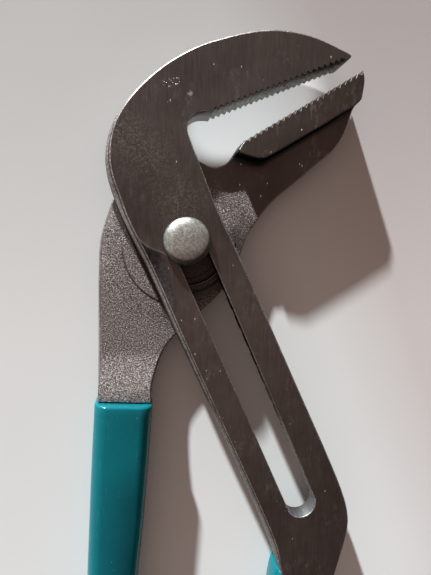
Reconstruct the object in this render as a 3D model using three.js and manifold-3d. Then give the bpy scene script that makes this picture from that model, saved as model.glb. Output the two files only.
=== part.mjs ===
// Slotted tongue-and-groove locking pliers, 12 inch class, lying on their back.
// Millimetres, +Z up. The origin is on the pivot axis, in the plane that the tool lies on.
// The pivot slides along the slot of the upper jaw's arm, and the lower jaw turns about it.
import * as THREE from "three";
import { mergeVertices } from "three/addons/utils/BufferGeometryUtils.js";
import Module from "manifold-3d";

// Levels above the surface that the tool lies on
const REAR_FACE = 2.4;
const LOWER_LAP = 8.2; // front of the lower arm where the two arms slide on each other
const UPPER_LAP = 8.5; // back of the slotted arm
const FRONT_FACE = 14.4;
const FORGED_DROP = 0.8; // the forged shank lies this far below the ground boss
const TANG_FRONT = 10.2; // front of the lower arm's tang in its grip
const RIGHT_TANG_FRONT = 11.8;
const GRIP_THICK = 14;
const FAR_BELOW = -10; // where cuts begin, clear of the tool
const FAR_ABOVE = 25;

// Slot and pivot
const SLOT_LEAN = THREE.MathUtils.degToRad(23.4); // from -Y towards +X
const SLOT_WIDTH = 10;
const SLOT_LENGTH = 99; // between the centres of its round ends
const BOLT_SHANK_R = 4.7;
const BOLT_HEAD_R = 7.5;
const BOLT_HEAD_HIGH = 3.4;
const HEAD_RIM = 1.3; // straight side of the head, under its dome
const BOLT_THREAD_R = 3.9;
const NUT_FLATS = 13;
const NUT_TOP = 3.4;
const WASHER_R = 8.2;
const WASHER_HIGH = 0.6;
const WASHER_GAP = 0.25; // to the nut below it
const NUT_POCKET_R = 8.9;
const NUT_POCKET_TOP = 4.6;
const FIT = 0.3; // clearance between neighbours that touch

// Locking tongue and its grooves
const DETENT_PITCH = 7;
const DETENTS = 13;
const TONGUE_R = 15.1; // middle of the tongue, from the pivot
const TONGUE_WIDTH = 1.8;
const TONGUE_HIGH = 1.3;
const GROOVE_WIDTH = 2.5;
const GROOVE_DEEP = 1.6;
const TONGUE_FROM = THREE.MathUtils.degToRad(-20); // from the slot's direction
const TONGUE_TO = THREE.MathUtils.degToRad(55);
const GROOVE_FROM = THREE.MathUtils.degToRad(-62);
const GROOVE_TO = THREE.MathUtils.degToRad(60);

// Laps
const BOSS_R = 21; // ground boss on the lower arm
const LOWER_ARM_R = 26.4; // round top of the lower arm, under the upper jaw
const JAW_RECESS_R = 28.2; // recess in the back of the upper jaw
const SHANK_END = 116; // along the slot's direction, where the slotted arm thickens again

// Handles
const GRIP_CORNER = 4.6;
const GRIP_END = 9; // length of a grip's rounded end
const END_TURN = THREE.MathUtils.degToRad(80);
const TANG_INSET = 2; // thickness of the vinyl over the steel
const TANG_CORNER = 2.4;
const TANG_BACK = 3.4;
const TANG_LEAD = 2; // length of the tang inside the arm it belongs to

// Slopes between levels, by their distance along the arm from where they start to where they end
const LAP_RAMP = 6; // back of the slotted arm, from the thin shank to the elbow
const NECK_FROM = 36; // front of the lower arm, up to its tang
const NECK_TO = 52;

// Teeth
const TOOTH_DEEP = 0.9;
const UPPER_TEETH = 23;
const LOWER_TEETH = 21;

const steel = { color: 0x4b423d, roughness: 0.42, metalness: 0.9 };
const forged = { color: 0x6b625c, roughness: 0.62, metalness: 0.85 };
const zinc = { color: 0xa2a296, roughness: 0.35, metalness: 0.9 };
const vinyl = { color: 0x00696e, roughness: 0.3, metalness: 0.0 };

const wasm = await Module();
wasm.setup();

// A closed geometry as a solid that can be joined and cut.
function solid(geometry) {
  const bare = geometry.index ? geometry.toNonIndexed() : geometry.clone();
  bare.deleteAttribute("normal");
  bare.deleteAttribute("uv");
  const merged = mergeVertices(bare, 1e-4);
  return new wasm.Manifold(
    new wasm.Mesh({
      numProp: 3,
      vertProperties: merged.attributes.position.array,
      triVerts: new Uint32Array(merged.index.array),
    }),
  );
}

function geometryOf(body) {
  const made = body.getMesh();
  const geometry = new THREE.BufferGeometry();
  geometry.setAttribute("position", new THREE.BufferAttribute(made.vertProperties, 3));
  geometry.setIndex(new THREE.BufferAttribute(made.triVerts, 1));
  geometry.computeVertexNormals();
  return geometry;
}

function piece(name, body, finish) {
  const mesh = new THREE.Mesh(geometryOf(body), new THREE.MeshStandardMaterial(finish));
  mesh.name = name;
  return mesh;
}

const at = (x, y) => new THREE.Vector2(x, y);

// A flat outline raised from one level to another.
function plate(shape, from, to, curveSegments = 4) {
  const geometry = new THREE.ExtrudeGeometry(shape, {
    depth: to - from,
    bevelEnabled: false,
    curveSegments,
  });
  geometry.translate(0, 0, from);
  return solid(geometry);
}

function disc(radius, from, to, sides = 72) {
  const geometry = new THREE.CylinderGeometry(radius, radius, to - from, sides);
  geometry.rotateX(Math.PI / 2);
  geometry.translate(0, 0, (from + to) / 2);
  return solid(geometry);
}

// A profile in the plane of travel and height, as wide as the whole tool across the slot.
function slice(profile, lean) {
  const reach = 90;
  const geometry = new THREE.ExtrudeGeometry(new THREE.Shape(profile), {
    depth: 2 * reach,
    bevelEnabled: false,
  });
  geometry.translate(0, 0, -reach);
  const along = new THREE.Vector3(Math.sin(lean), -Math.cos(lean), 0);
  const up = new THREE.Vector3(0, 0, 1);
  const across = new THREE.Vector3().crossVectors(along, up);
  geometry.applyMatrix4(new THREE.Matrix4().makeBasis(along, up, across));
  return solid(geometry);
}

// A round-ended bar from one point to another.
function obround(from, to, radius) {
  const turn = Math.atan2(to.y - from.y, to.x - from.x);
  const shape = new THREE.Shape();
  shape.absarc(to.x, to.y, radius, turn - Math.PI / 2, turn + Math.PI / 2, false);
  shape.absarc(from.x, from.y, radius, turn + Math.PI / 2, turn + 1.5 * Math.PI, false);
  return shape;
}

// A point on the slot's middle line, so far from the pivot's place at rest.
const onSlot = (travel) => at(travel * Math.sin(SLOT_LEAN), -travel * Math.cos(SLOT_LEAN));

// A curved bar round a pivot place, between two angles from the slot's direction.
function arcBar(travel, radius, width, from, to, low, high) {
  const centre = onSlot(travel);
  const start = -Math.PI / 2 + SLOT_LEAN;
  const shape = new THREE.Shape();
  shape.absarc(centre.x, centre.y, radius + width / 2, start + from, start + to, false);
  shape.absarc(centre.x, centre.y, radius - width / 2, start + to, start + from, true);
  return plate(shape, low, high, 14);
}

// Saw-like teeth along a straight line; the gullets lie on its left side going forward.
function addTeeth(shape, from, to, count) {
  const step = to.clone().sub(from).divideScalar(count);
  const inward = at(-step.y, step.x).normalize().multiplyScalar(TOOTH_DEEP);
  for (let i = 0; i < count; i += 1) {
    const gullet = from.clone().addScaledVector(step, i + 0.5).add(inward);
    const tip = from.clone().addScaledVector(step, i + 1);
    shape.lineTo(gullet.x, gullet.y);
    shape.lineTo(tip.x, tip.y);
  }
}

// Middle lines and widths of the handles, from the mouth of the grip to its end
const rightHandle = [
  at(41.9, -120.25), at(40.3, -125.6), at(38.7, -137), at(37.9, -155), at(38.3, -180), at(39.6, -206),
  at(41.2, -238),
];
const rightWidths = [21.6, 20.6, 18.7, 17, 16.2, 17, 18];
const leftHandle = [
  at(-20.7, -52.8), at(-22.4, -74), at(-24, -94), at(-25.9, -116), at(-27.6, -145), at(-28.6, -175),
  at(-28.2, -205), at(-26.6, -236),
];
const leftWidths = [18.8, 18.6, 18, 16.9, 16, 16, 17, 18];

// A closed skin through rings that all have the same number of points.
function loft(rings) {
  const count = rings[0].length;
  const points = rings.flat();
  const faces = [];
  for (let i = 0; i + 1 < rings.length; i += 1) {
    for (let j = 0; j < count; j += 1) {
      const a = i * count + j;
      const b = i * count + ((j + 1) % count);
      faces.push(a, b, b + count, a, b + count, a + count);
    }
  }
  const last = (rings.length - 1) * count;
  for (let j = 1; j + 1 < count; j += 1) {
    faces.push(0, j + 1, j, last, last + j, last + j + 1);
  }
  const geometry = new THREE.BufferGeometry().setFromPoints(points);
  geometry.setIndex(faces);
  return solid(geometry);
}

// A flat-sided ring with round corners, across a handle.
function section(point, tangent, width, low, high, corner) {
  const cornerSteps = 3;
  const middle = (low + high) / 2;
  const ring = [];
  for (let quarter = 0; quarter < 4; quarter += 1) {
    const sideways = quarter === 0 || quarter === 3 ? 1 : -1;
    const upwards = quarter < 2 ? 1 : -1;
    for (let i = 0; i <= cornerSteps; i += 1) {
      const angle = (quarter + i / cornerSteps) * (Math.PI / 2);
      const across = sideways * (width / 2 - corner) + corner * Math.cos(angle);
      const height = middle + upwards * ((high - low) / 2 - corner) + corner * Math.sin(angle);
      ring.push(new THREE.Vector3(point.x - tangent.y * across, point.y + tangent.x * across, height));
    }
  }
  return ring;
}

// A bent bar along a handle, from its mouth to a rounded far end, all round smaller by inset.
function bar(middle, widths, low, high, inset, corner) {
  const curve = new THREE.SplineCurve(middle);
  const width = new THREE.SplineCurve(widths.map((w) => at(0, w)));
  const steps = 20;
  const length = curve.getLength();
  const endShare = (GRIP_END - inset) / length;
  const shares = [];
  for (let i = 0; i <= steps; i += 1) {
    shares.push((i / steps) * (1 - endShare - inset / length));
  }
  const rings = shares.map((t) => {
    const wide = width.getPoint(t).y - 2 * inset;
    return section(curve.getPoint(t), curve.getTangent(t), wide, low + inset, high - inset, corner);
  });
  const from = shares[shares.length - 1];
  const endSteps = 6;
  for (let i = 1; i <= endSteps; i += 1) {
    const angle = (i / endSteps) * END_TURN;
    const t = from + endShare * Math.sin(angle);
    const wide = (width.getPoint(t).y - 2 * inset) * (0.18 + 0.82 * Math.cos(angle));
    const thick = high - low - 2 * inset;
    const lift = (1 - Math.cos(angle)) * 0.42 * thick;
    const round = Math.min(corner, thick / 2 - lift - 0.2);
    rings.push(section(curve.getPoint(t), curve.getTangent(t), wide, low + inset + lift,
      high - inset - lift, round));
  }
  return loft(rings);
}

// The bar of steel inside a grip. With room it is the hollow that the grip keeps for it.
function tang(middle, widths, front, room = 0) {
  const back = middle[0].clone().sub(middle[1]).setLength(TANG_LEAD);
  const lead = [middle[0].clone().add(back), ...middle.slice(1)];
  return bar(lead, widths, TANG_BACK - TANG_INSET, front + TANG_INSET, TANG_INSET - room, TANG_CORNER);
}

// A dipped grip: one skin, open at its mouth.
function grip(middle, widths, front) {
  const skin = bar(middle, widths, 0, GRIP_THICK, 0, GRIP_CORNER);
  return skin.subtract(tang(middle, widths, front, FIT));
}

// Outline of the slotted arm: upper jaw, shank and elbow
function upperOutline() {
  const shape = new THREE.Shape();
  const toothStart = at(8.4, 39.6);
  const toothEnd = at(50.6, 57.1);
  shape.moveTo(toothStart.x, toothStart.y);
  addTeeth(shape, toothStart, toothEnd, UPPER_TEETH);
  shape.splineThru([at(51.9, 57.4), at(52.8, 58.2), at(52.4, 59.2), at(48.7, 60.9)]);
  shape.splineThru([
    at(42, 63.2), at(35.2, 64.6), at(27.5, 64.9), at(19.6, 63.8), at(10.6, 61.2), at(3.2, 58.4),
    at(-5, 53.7), at(-12.2, 47.9), at(-17.8, 42), at(-22.3, 35.4), at(-24.6, 28), at(-24.4, 20.8),
    at(-22.4, 13.4), at(-19.2, 5),
  ]);
  shape.splineThru([at(-12.4, -9.3), at(-3.4, -30.2), at(6, -51.6), at(15.8, -74), at(25, -95.8)]);
  shape.lineTo(32.6, -117);
  shape.lineTo(51.5, -122.7);
  shape.splineThru([
    at(54.7, -113.2), at(56.6, -106), at(57.4, -98.5), at(55.4, -89.5), at(49.3, -74.6), at(37.9, -49.6),
    at(26.6, -24.8), at(17.6, -5.3), at(10.2, 10), at(4.6, 23.4),
  ]);
  shape.splineThru([at(1.5, 30.4), at(0.4, 34.4), at(1.5, 37.6), at(4.4, 39.4), toothStart]);
  return shape;
}

// The room behind the thin shank, where the lower arm slides.
function shankRoom() {
  return slice(
    [
      at(0, FAR_BELOW), at(SHANK_END + LAP_RAMP / 2, FAR_BELOW), at(SHANK_END + LAP_RAMP / 2, REAR_FACE),
      at(SHANK_END - LAP_RAMP / 2, UPPER_LAP), at(0, UPPER_LAP),
    ],
    SLOT_LEAN,
  );
}

function slottedArm() {
  const slot = obround(onSlot(0), onSlot(SLOT_LENGTH), SLOT_WIDTH / 2);
  let arm = plate(upperOutline(), REAR_FACE, FRONT_FACE);
  arm = arm.subtract(shankRoom()).subtract(disc(JAW_RECESS_R, FAR_BELOW, UPPER_LAP));
  arm = arm.subtract(plate(slot, FAR_BELOW, FAR_ABOVE));
  for (let i = 0; i < DETENTS; i += 1) {
    const groove = arcBar(i * DETENT_PITCH, TONGUE_R, GROOVE_WIDTH, GROOVE_FROM, GROOVE_TO,
      UPPER_LAP - 1, UPPER_LAP + GROOVE_DEEP);
    arm = arm.subtract(groove);
  }
  return arm.add(tang(rightHandle, rightWidths, RIGHT_TANG_FRONT));
}

// Outline of the lower arm: jaw, boss, and shank down to the mouth of the grip
function lowerOutline() {
  const shape = new THREE.Shape();
  const toothStart = at(56.7, 54.3);
  const toothEnd = at(18.4, 31.5);
  shape.moveTo(toothStart.x, toothStart.y);
  addTeeth(shape, toothStart, toothEnd, LOWER_TEETH);
  shape.splineThru([at(15, 26.6), at(12.3, 24.6), at(8.9, 24)]);
  const arcFrom = THREE.MathUtils.degToRad(82);
  const arcTo = THREE.MathUtils.degToRad(154.8);
  shape.absarc(0, 0, LOWER_ARM_R, arcFrom, arcTo, false);
  shape.splineThru([at(-27.1, 1), at(-28, -9), at(-28.7, -31), at(-29.2, -51.8)]);
  shape.lineTo(-11.9, -53.2);
  shape.splineThru([
    at(-11.1, -47.6), at(-8.7, -39.9), at(-5.4, -33.9), at(0.2, -28.2), at(5.6, -23.4),
    at(12.2, -17.2), at(16.6, -10.4), at(18.7, -4.9), at(21, 1.2), at(25, 7.6), at(30.4, 13.7),
    at(38.4, 20.3), at(45.3, 26), at(50.3, 30.1), at(53.7, 34.8), at(55.8, 40.2), at(57, 46.5),
    at(57.4, 51.4), toothStart,
  ]);
  return shape;
}

// The jaw's raised pad, level with the upper jaw
function padOutline() {
  return new THREE.Shape([
    at(64, 58), at(14, 32), at(16.6, 29.4), at(16.6, 27.6), at(19.9, 26.7), at(22.5, 26), at(24.9, 26),
    at(36.2, 32.4), at(46, 38.2), at(55.6, 44.9), at(64, 50),
  ]);
}

// Height of the lower arm along -Y: the forged lap, then up to the tang.
function lowerSide() {
  const jawEnd = -90;
  const neckEnd = 80;
  const forged = LOWER_LAP - FORGED_DROP;
  return slice(
    [
      at(jawEnd, REAR_FACE), at(neckEnd, REAR_FACE), at(neckEnd, TANG_FRONT), at(NECK_TO, TANG_FRONT),
      at(NECK_FROM, forged), at(jawEnd, forged),
    ],
    0,
  );
}

function lowerArm() {
  const outline = lowerOutline();
  const full = plate(outline, REAR_FACE, FRONT_FACE);
  let arm = plate(outline, REAR_FACE - 1, FAR_ABOVE).intersect(lowerSide());
  arm = arm.add(full.intersect(disc(BOSS_R, REAR_FACE, LOWER_LAP)));
  arm = arm.add(full.intersect(plate(padOutline(), REAR_FACE, FRONT_FACE)));
  arm = arm.add(arcBar(0, TONGUE_R, TONGUE_WIDTH, TONGUE_FROM, TONGUE_TO, LOWER_LAP - 1,
    LOWER_LAP + TONGUE_HIGH));
  arm = arm.add(tang(leftHandle, leftWidths, TANG_FRONT));
  arm = arm.subtract(disc(BOLT_SHANK_R + FIT, FAR_BELOW, FAR_ABOVE, 48));
  return arm.subtract(disc(NUT_POCKET_R, FAR_BELOW, NUT_POCKET_TOP, 48));
}

// The bolt: threaded end, plain shank, and a domed head on a short rim.
function pivotBolt() {
  const chamfer = 0.4;
  const headBack = FRONT_FACE + FIT;
  const rim = headBack + HEAD_RIM;
  const profile = [at(0, 0), at(BOLT_THREAD_R - chamfer, 0), at(BOLT_THREAD_R, chamfer)];
  profile.push(at(BOLT_THREAD_R, NUT_POCKET_TOP), at(BOLT_SHANK_R, NUT_POCKET_TOP));
  profile.push(at(BOLT_SHANK_R, headBack), at(BOLT_HEAD_R - chamfer, headBack));
  profile.push(at(BOLT_HEAD_R, headBack + chamfer), at(BOLT_HEAD_R, rim));
  const domeSteps = 7;
  for (let i = 1; i < domeSteps; i += 1) {
    const angle = (i / domeSteps) * (Math.PI / 2);
    profile.push(at(BOLT_HEAD_R * Math.cos(angle), rim + (BOLT_HEAD_HIGH - HEAD_RIM) * Math.sin(angle)));
  }
  profile.push(at(0, headBack + BOLT_HEAD_HIGH));
  const geometry = new THREE.LatheGeometry(profile, 40);
  geometry.rotateX(Math.PI / 2);
  return solid(geometry);
}

function pivotNut() {
  const corner = NUT_FLATS / Math.sqrt(3);
  const geometry = new THREE.CylinderGeometry(corner, corner, NUT_TOP, 6);
  geometry.rotateX(Math.PI / 2);
  geometry.translate(0, 0, NUT_TOP / 2);
  return solid(geometry).subtract(disc(BOLT_THREAD_R + FIT, -1, NUT_TOP + 1, 40));
}

function washer() {
  const low = NUT_TOP + WASHER_GAP;
  return disc(WASHER_R, low, low + WASHER_HIGH, 48).subtract(
    disc(BOLT_THREAD_R + FIT, low - 1, low + WASHER_HIGH + 1, 40),
  );
}

const pliers = new THREE.Group();
pliers.name = "locking_pliers";

pliers.add(piece("slotted_upper_jaw_arm", slottedArm(), steel));
pliers.add(piece("upper_arm_grip", grip(rightHandle, rightWidths, RIGHT_TANG_FRONT), vinyl));
pliers.add(piece("lower_jaw_arm", lowerArm(), forged));
pliers.add(piece("lower_arm_grip", grip(leftHandle, leftWidths, TANG_FRONT), vinyl));
pliers.add(piece("pivot_bolt", pivotBolt(), zinc));
pliers.add(piece("spring_washer", washer(), zinc));
pliers.add(piece("pivot_nut", pivotNut(), zinc));

export default pliers;
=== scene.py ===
"""Slotted tongue-and-groove pliers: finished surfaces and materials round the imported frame."""
import math

import bmesh
import bpy
import numpy as np
from mathutils import Matrix, Vector
from mathutils.geometry import delaunay_2d_cdt


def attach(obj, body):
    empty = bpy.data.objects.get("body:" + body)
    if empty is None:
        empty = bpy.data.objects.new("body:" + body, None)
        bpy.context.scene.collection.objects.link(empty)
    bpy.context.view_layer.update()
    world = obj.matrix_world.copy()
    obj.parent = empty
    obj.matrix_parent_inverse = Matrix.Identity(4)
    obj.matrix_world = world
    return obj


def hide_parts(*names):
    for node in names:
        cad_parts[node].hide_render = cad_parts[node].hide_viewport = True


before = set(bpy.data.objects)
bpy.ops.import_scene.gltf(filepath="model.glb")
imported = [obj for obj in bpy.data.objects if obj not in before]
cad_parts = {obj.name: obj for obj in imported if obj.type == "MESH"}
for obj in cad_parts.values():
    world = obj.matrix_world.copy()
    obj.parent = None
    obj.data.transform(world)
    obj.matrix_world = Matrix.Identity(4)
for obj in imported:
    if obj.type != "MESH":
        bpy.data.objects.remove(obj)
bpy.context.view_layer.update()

MM = 0.001

# ---- driving dimensions, mm
REAR_FACE = 2.4
LOWER_LAP = 8.2
UPPER_LAP = 8.5
FRONT_FACE = 14.4
FORGED_DROP = 0.8
TANG_FRONT = 10.2
RIGHT_TANG_FRONT = 11.8
TANG_BACK = 3.4
TANG_INSET = 2.0
FIT = 0.3
GRIP_THICK = 14.0
SKIN = 0.02  # the finished surfaces lie this far inside the CAD's

SLOT_LEAN = math.radians(23.4)
SLOT_RADIUS = 5.0
SLOT_LENGTH = 99.0
DETENT_PITCH = 7.0
DETENTS = 13
TONGUE_R = 15.1
TONGUE_TALL = 1.3
GROOVE_DEEP = 1.6
BOSS_CENTRE = (-1.6, -2.2)
BOSS_R = 18.6
JAW_RECESS_R = 28.2
SHANK_END = 116.0

BOLT_SHANK_R = 4.7
BOLT_HEAD_R = 7.5
BOLT_HEAD_TALL = 3.38
DOME_POWER = 2.4  # over 2, so the middle is flatter and the shoulder rounder than a ball's
BOLT_THREAD_R = 3.9
THREAD_TURNS = 5
THREAD_STEP = 0.36
NUT_FLATS = 13
NUT_THICK = 3.4
WASHER_R = 8.2
WASHER_GAP = 0.25
WASHER_THICK = 0.6
NUT_POCKET_R = 8.9
NUT_POCKET_TOP = 4.6

TOOTH_DEEP = 0.9
TEETH_LEAN = math.radians(22.5)
UPPER_TEETH = 23
LOWER_TEETH = 21

TANG_CORNER = 2.2
TANG_CAP = 7.0
GRIP_CORNER = 4.6
GRIP_LIP = 0.75
GRIP_CAP = 9.0
HOLLOW_CORNER = 2.3
HOLLOW_CAP = 7.2
HOLLOW_END = 10.6  # from the grip's end to where its hollow begins to close

FACE, EDGE, WALL, TEETH, SHADE, ROUGH = range(6)  # material slots of an arm


# ---- curves and outlines
def between(a, b, c, d, t):
    """The smooth curve from b to c, at a share t of the way."""
    bend, twist = 2 * a - 5 * b + 4 * c - d, 3 * b - a - 3 * c + d
    return 0.5 * (2 * b + (c - a) * t + bend * t * t + twist * t**3)


def polar(radius, angle, centre=(0, 0)):
    return centre[0] + radius * math.cos(angle), centre[1] + radius * math.sin(angle)


def spline(keys, per_span=6):
    """A smooth curve through rows of numbers, the last key left out."""
    k = [np.array(v, float) for v in keys]
    k = [k[0]] + k + [k[-1]]
    out = []
    for i in range(1, len(k) - 2):
        for j in range(per_span):
            out.append(between(*k[i - 1 : i + 3], j / per_span))
    return out


def teeth(start, end, count, width):
    """Tooth tips and gullets along a line, as rows of x, y, edge width, draft. Gullets lie to its left."""
    start, end = np.array(start, float), np.array(end, float)
    step = (end - start) / count
    inward = np.array([-step[1], step[0]]) / np.linalg.norm(step) * TOOTH_DEEP
    rows = []
    for i in range(count):
        tip = start + step * i
        gullet = tip + step * 0.5 + inward
        for a, b in ((tip, gullet), (gullet, tip + step)):
            for share in (0.0, 0.34, 0.67):
                rows.append(np.array([*(a + (b - a) * share), width, 0.0]))
    return rows


def edged(width, draft, *points):
    """Points of an outline that share one edge width and draft."""
    return [(x, y, width, draft) for x, y in points]


def on_slot(travel):
    return np.array([travel * math.sin(SLOT_LEAN), -travel * math.cos(SLOT_LEAN)])


def upper_outline():
    """The slotted arm's outline, anticlockwise: x, y, width of the rounded edge, draft."""
    rows = teeth((8.4, 39.6), (50.6, 57.1), UPPER_TEETH, 0.16)
    rows += spline([(50.6, 57.1, 0.2, 0), (51.9, 57.5, 0.25, 0), (52.8, 58.2, 0.3, 0.1),
                    (52.4, 59.2, 0.3, 0.2), (48.7, 60.9, 0.45, 0.3)], 4)
    rows += spline([(48.7, 60.9, 0.45, 0.3), (42, 63.2, 0.45, 0.2),
                    *edged(0.5, 0.2, (35.2, 64.6), (27.5, 64.9), (19.6, 63.8)),
                    *edged(0.45, 0.2, (10.6, 61.2), (3.2, 58.4), (-5, 53.7)),
                    (-12.2, 47.9, 0.5, 0.2), (-17.8, 42, 0.6, 0.3), (-22.3, 35.4, 1.0, 0.4),
                    (-24.6, 28, 1.6, 0.4), (-24.4, 20.8, 1.7, 0.4), (-22.4, 13.4, 2.0, 0.4),
                    *edged(1.8, 0.4, (-19.2, 5), (-12.4, -9.3)), (-3.4, -30.2, 1.6, 0.4),
                    *edged(1.4, 0.4, (6, -51.6), (15.8, -74)), *edged(1.5, 0.4, (25, -95.8), (29.2, -107)),
                    (32.6, -117, 0.3, 0.2)], 7)
    rows += [np.array([32.6, -117, 0.15, 0.1]), np.array([42.05, -119.85, 0.15, 0.0])]
    rows += spline([(51.5, -122.7, 0.15, 0.1),
                    *edged(0.5, 0.4, (54.7, -113.2), (56.6, -106), (57.4, -98.5), (55.4, -89.5),
                           (49.3, -74.6), (37.9, -49.6), (26.6, -24.8), (17.6, -5.3)),
                    (10.2, 10, 0.5, 0.35), (4.6, 23.4, 0.4, 0.2),
                    *edged(0.35, 0, (1.5, 30.4), (0.4, 34.4), (1.5, 37.6)), (4.4, 39.4, 0.3, 0),
                    (8.4, 39.6, 0.2, 0)], 6)
    return rows


def slot_outline():
    """The slot, clockwise, so that its metal too lies on the left."""
    rows = []
    steps = 14
    turn = -math.pi / 2 + SLOT_LEAN
    for centre, start in ((on_slot(SLOT_LENGTH), turn + math.pi / 2), (on_slot(0), turn - math.pi / 2)):
        for i in range(steps + 1):
            rows.append(np.array([*polar(SLOT_RADIUS, start - math.pi * i / steps, centre), 0.35, 0.0]))
    return divided(rows, 3.0)


def divided(rows, most):
    """The closed loop with its long straight steps cut into shorter ones."""
    out = []
    for a, b in zip(rows, rows[1:] + rows[:1]):
        parts = max(1, int(np.linalg.norm((b - a)[:2]) / most))
        out += [a + (b - a) * i / parts for i in range(parts)]
    return out


LOWER_SIDE = [
    (-11.9, -53.2, 0.12, 0.1), *edged(0.7, 0.3, (-11.1, -47.6), (-8.7, -39.9), (-5.4, -33.9)),
    (0.2, -28.2, 0.6, 0.3),
    *edged(0.5, 0.3, (5.6, -23.4), (12.2, -17.2), (16.6, -10.4), (18.7, -4.9), (21, 1.2), (25, 7.6),
           (30.4, 13.7), (38.4, 20.3), (45.3, 26), (50.3, 30.1), (53.7, 34.8)),
    (55.8, 40.2, 0.5, 0.2), (57, 46.5, 0.3, 0.1), (57.4, 51.4, 0.12, 0), (56.7, 54.3, 0.05, 0),
]


CHEEK_R, CHEEK_START, CHEEK_END, CHEEK_STEPS = 26.4, 81, 154.8, 30  # the round behind the throat


def lower_outline():
    """The lower arm's outline, anticlockwise."""
    rows = teeth((56.7, 54.3), (18.4, 31.5), LOWER_TEETH, 0.16)
    rows[0][2] = 0.05
    rows += spline([(18.4, 31.5, 0.2, 0), (15, 26.6, 0.3, 0), (12.3, 24.6, 0.4, 0), (8.9, 24, 0.4, 0),
                    (4.2, 26.06, 0.4, 0)], 5)
    for i in range(CHEEK_STEPS):
        angle = math.radians(CHEEK_START + (CHEEK_END - CHEEK_START) * i / CHEEK_STEPS)
        rows.append(np.array([*polar(CHEEK_R, angle), 0.4, 0]))
    rows += spline([(-23.9, 11.2, 0.5, 0.3), (-27.1, 1, 0.7, 0.3),
                    *edged(0.8, 0.3, (-28, -9), (-28.4, -20), (-28.7, -31), (-29, -42)),
                    (-29.2, -51.8, 0.15, 0.1)], 6)
    rows += [np.array([-29.2, -51.8, 0.12, 0.1]), np.array([-20.5, -52.5, 0.12, 0])]
    return rows + spline(LOWER_SIDE, 6)


# ---- mesh making
def make_object(name, bm, materials):
    mesh = bpy.data.meshes.new(name)
    bm.to_mesh(mesh)
    bm.free()
    for material in materials:
        mesh.materials.append(material)
    return placed(name, mesh)


def placed(name, data):
    """A new object in the scene that holds the data."""
    obj = bpy.data.objects.new(name, data)
    bpy.context.scene.collection.objects.link(obj)
    return obj


def closed(name, bm, materials):
    """An object from a closed mesh, with its faces turned outwards."""
    bmesh.ops.recalc_face_normals(bm, faces=bm.faces)
    return make_object(name, bm, materials)


def bridge(bm, a, b):
    """Faces between two rings of equal count."""
    n = len(a)
    return [bm.faces.new((a[i], a[(i + 1) % n], b[(i + 1) % n], b[i])) for i in range(n)]


def skin(name, rings, materials, slot=0):
    """A closed surface through rings of equal count, with flat ends."""
    bm = bmesh.new()
    verts = [[bm.verts.new(p) for p in ring] for ring in rings]
    for a, b in zip(verts, verts[1:]):
        bridge(bm, a, b)
    bm.faces.new(verts[0][::-1])
    bm.faces.new(verts[-1])
    for face in bm.faces:
        face.material_index = slot
    return closed(name, bm, materials)


def prism(name, outline, low, high, materials, slot=WALL):
    """A plain closed outline raised between two levels, used for cuts and joins."""
    return skin(name, [[(x, y, z) for x, y in outline] for z in (low, high)], materials, slot)


def inset(loop, amounts):
    """Each point of a closed loop moved to its left by its own amount."""
    points = np.array([r[:2] for r in loop])
    ahead = np.roll(points, -1, 0) - points
    ahead /= np.linalg.norm(ahead, axis=1)[:, None]
    behind = np.roll(ahead, 1, 0)
    both = ahead + behind
    both /= np.maximum(np.linalg.norm(both, axis=1), 1e-6)[:, None]
    left = np.stack([-both[:, 1], both[:, 0]], 1)
    stretch = 1 / np.clip((both * ahead).sum(1), 0.62, 1)
    return points + left * (np.array(amounts) * stretch)[:, None]


def inside(points, loops):
    """Even-odd test of many points against closed loops."""
    hit = np.zeros(len(points), bool)
    for loop in loops:
        for (x0, y0), (x1, y1) in zip(loop, np.roll(loop, -1, 0)):
            if y0 == y1:
                continue
            crosses = (points[:, 1] < y0) != (points[:, 1] < y1)
            hit ^= crosses & (points[:, 0] < x0 + (points[:, 1] - y0) * (x1 - x0) / (y1 - y0))
    return hit


def nearest(points, others):
    return np.array([np.min(np.hypot(*(others - p).T)) for p in points])


ROW_STEP = 0.866  # of the spacing, for triangles with equal sides
CLEAR_EXTRA = 0.12
CLEAR_GRID = 0.45  # of the spacing


def fill_points(loops, spacing, extra):
    """An even spread of points inside the loops, clear of their edges, and the extra points that fit."""
    edge = np.concatenate(loops)
    low, high = edge.min(0), edge.max(0)
    rows = []
    clear = CLEAR_GRID * spacing
    for j in range(int((high[1] - low[1]) / (spacing * ROW_STEP)) + 1):
        x = np.arange(low[0] + (j % 2) * spacing / 2, high[0], spacing)
        rows.append(np.stack([x, np.full(len(x), low[1] + j * spacing * ROW_STEP)], 1))
    grid = np.concatenate(rows)
    grid = grid[inside(grid, loops)]
    if len(extra):
        extra = np.array(extra)
        extra = extra[inside(extra, loops)]
        extra = extra[nearest(extra, edge) > CLEAR_EXTRA]
        grid = grid[nearest(grid, extra) > clear]
        return np.concatenate([grid[nearest(grid, edge) > clear], extra])
    return grid[nearest(grid, edge) > clear]


BACK_EDGE = 0.4
EDGE_TALL = 1.15  # height of a rounded front edge over its width
EDGE_TURNS = [math.radians(a) for a in (0, 14, 27, 38, 48, 57, 66)]
# SHADE bands are dark lines of painted shade, EDGE bands lighter lines of painted highlight
BANDS = (WALL, WALL, WALL, SHADE, EDGE, EDGE, EDGE, SHADE, EDGE)  # from the back edge to the face


def level(z):
    return lambda x, y: z


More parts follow.
